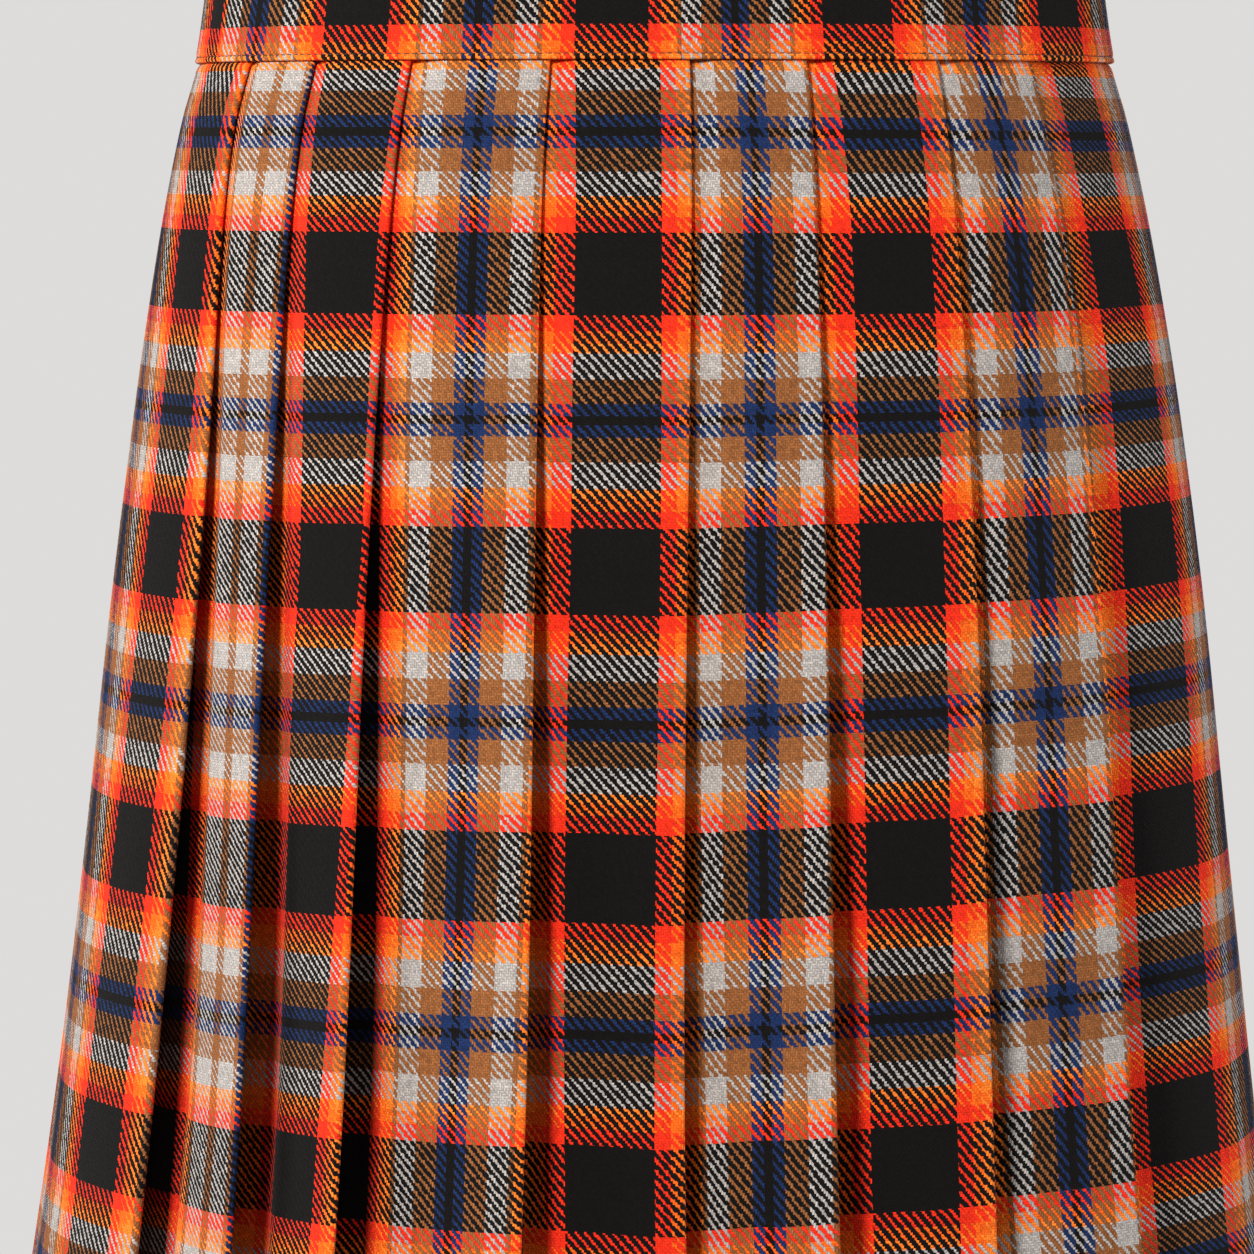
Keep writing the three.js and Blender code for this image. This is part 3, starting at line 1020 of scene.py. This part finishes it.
HORN = horn()
HOLES = [(x, y) for x in (-HOLE_SPREAD, HOLE_SPREAD) for y in (-HOLE_SPREAD, HOLE_SPREAD)]
for number, station in enumerate(BUTTON_STATIONS, 1):
    seat, up, out = band_spot(station, BAND_HEIGHT / 2, CLOTH / 2 + BUTTON_GAP)
    side = up.cross(out)
    lay = Matrix([(*row, at) for row, at in zip(zip(side, up, out), seat)] + [(0, 0, 0, 1)])
    disc = bmesh.new()
    rims = [*BUTTON_PROFILE, *((r, DISH) for r in spread(DISH_RADIUS, 0, DISH_STEPS))]
    corners = [disc.verts.new((radius, 0, height)) for radius, height in rims]
    edges = [disc.edges.new(pair) for pair in zip(corners, corners[1:])]
    bmesh.ops.spin(
        disc,
        geom=corners + edges,
        axis=(0, 0, 1),
        steps=BUTTON_SIDES,
        angle=math.tau,
        use_merge=True,
    )
    bmesh.ops.remove_doubles(disc, verts=disc.verts, dist=1e-7)
    bmesh.ops.recalc_face_normals(disc, faces=disc.faces)
    for vert in disc.verts:
        if vert.co.z < HOLE_FLOOR:
            continue
        away = min(math.dist(vert.co.xy, hole) for hole in HOLES) - HOLE_RADIUS
        vert.co.z -= HOLE_DEPTH * (1 - ease(*HOLE_BEVEL, away))
    for face in disc.faces:
        face.smooth = True
    bmesh.ops.transform(disc, matrix=lay, verts=disc.verts)
    button = finish_piece(f"horn_button_{number}", disc, HORN)
    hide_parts(f"button_{number}")

    sewn = []
    for y in (-HOLE_SPREAD, HOLE_SPREAD):
        for strand in STRANDS:
            spot = seat + out * (DISH - STRAND_SINK) + up * (y + strand)
            sewn.append(sew(spot, up, out, STRAND))
    for reach in spread(-BUTTONHOLE_HALF, BUTTONHOLE_HALF, BUTTONHOLE_STEPS):
        turned = station + math.degrees((BUTTONHOLE_SHIFT + reach) / FRONT_RADIUS)
        for rise in (-BUTTONHOLE_LIP, BUTTONHOLE_LIP):
            spot, spot_up, spot_out = band_spot(turned, BAND_HEIGHT / 2 + rise, CLOTH / 2)
            sewn.append(sew(spot, spot_up.cross(spot_out), spot_out, HOLE_STITCH))
    past, half_bar = BUTTONHOLE_BAR
    for rise in spread(-half_bar, half_bar, BAR_STEPS):
        for end in (-1, 1):
            reach = BUTTONHOLE_SHIFT + end * (BUTTONHOLE_HALF + past)
            turned = station + math.degrees(reach / FRONT_RADIUS)
            spot = band_spot(turned, BAND_HEIGHT / 2 + rise, CLOTH / 2)
            sewn.append(sew(*spot, HOLE_STITCH))
    finish_stitches(f"button_thread_{number}", sewn)

# ---- The camera, lamps and floor ----
# A plain pale studio. The camera looks at the back, a soft lamp stands beside it to the left, two
# strips light the sides and one more lamp lights the front.

LENS_WIDTHS = 3.873  # focal length in frame widths
CAMERA_PLACE = Vector((0.0, -1.700, -0.0507))
CAMERA_DIP = math.radians(5.68)
CAMERA_TURN = math.radians(0.366)

camera = bpy.data.objects.new("camera", bpy.data.cameras.new("camera"))
camera.data.lens = camera.data.sensor_width * LENS_WIDTHS
camera.location = CAMERA_PLACE
camera.rotation_euler = (math.pi / 2 - CAMERA_DIP, 0, CAMERA_TURN)
bpy.context.scene.collection.objects.link(camera)
bpy.context.scene.camera = camera
bpy.context.scene.view_settings.view_transform = "Standard"

SKIRT_MIDDLE = Vector((0, 0, -0.25))
LAMPS = (  # name, place, width, watts and colour
    ("key", (-0.93, -1.53, 0.72), 0.4, 47, (1.0, 0.985, 0.96)),
    ("left strip", (-2.3, -0.5, 0.3), 0.8, 30, (1.0, 1.0, 1.0)),
    ("right strip", (2.25, -0.6, 0.3), 0.8, 32, (0.97, 0.98, 1.0)),
    ("front", (0.4, 2.3, 0.8), 1.2, 55, (1.0, 1.0, 1.0)),
)
for name, place, width, watts, colour in LAMPS:
    light = bpy.data.lights.new(name, "AREA")
    light.size, light.energy, light.color = width, watts, colour
    lamp = bpy.data.objects.new(name, light)
    lamp.location = place
    lamp.rotation_euler = (SKIRT_MIDDLE - Vector(place)).to_track_quat("-Z", "Y").to_euler()
    bpy.context.scene.collection.objects.link(lamp)

WALL_COLOUR = paint(221, 220, 219)
WALL_LIGHT = 0.11  # how much the walls light the kilt, next to how bright they look

world = bpy.data.worlds.new("studio")
bpy.context.scene.world = world
world.use_nodes = True
sky = world.node_tree
walls = sky.nodes["Background"]
walls.inputs[0].default_value = WALL_COLOUR
seen = sky.nodes.new("ShaderNodeLightPath").outputs["Is Camera Ray"]
dimmed = sky.nodes.new("ShaderNodeMapRange")
dimmed.inputs["To Min"].default_value = WALL_LIGHT
sky.links.new(seen, dimmed.inputs["Value"])
sky.links.new(dimmed.outputs[0], walls.inputs[1])

FLOOR_HEIGHT = -1.05  # below the hem of a kilt that is worn
FLOOR_RADIUS = 2.3
plaster = Finish("pale floor")
plaster.look(paint(232, 231, 229), 0.7)
disc = bmesh.new()
bmesh.ops.create_circle(disc, cap_ends=True, segments=96, radius=FLOOR_RADIUS)
bmesh.ops.translate(disc, verts=disc.verts, vec=(0, 0, FLOOR_HEIGHT))
floor_mesh = bpy.data.meshes.new("floor")
disc.to_mesh(floor_mesh)
disc.free()
floor_mesh.materials.append(plaster.material)
floor = bpy.data.objects.new("floor", floor_mesh)
bpy.context.scene.collection.objects.link(floor)
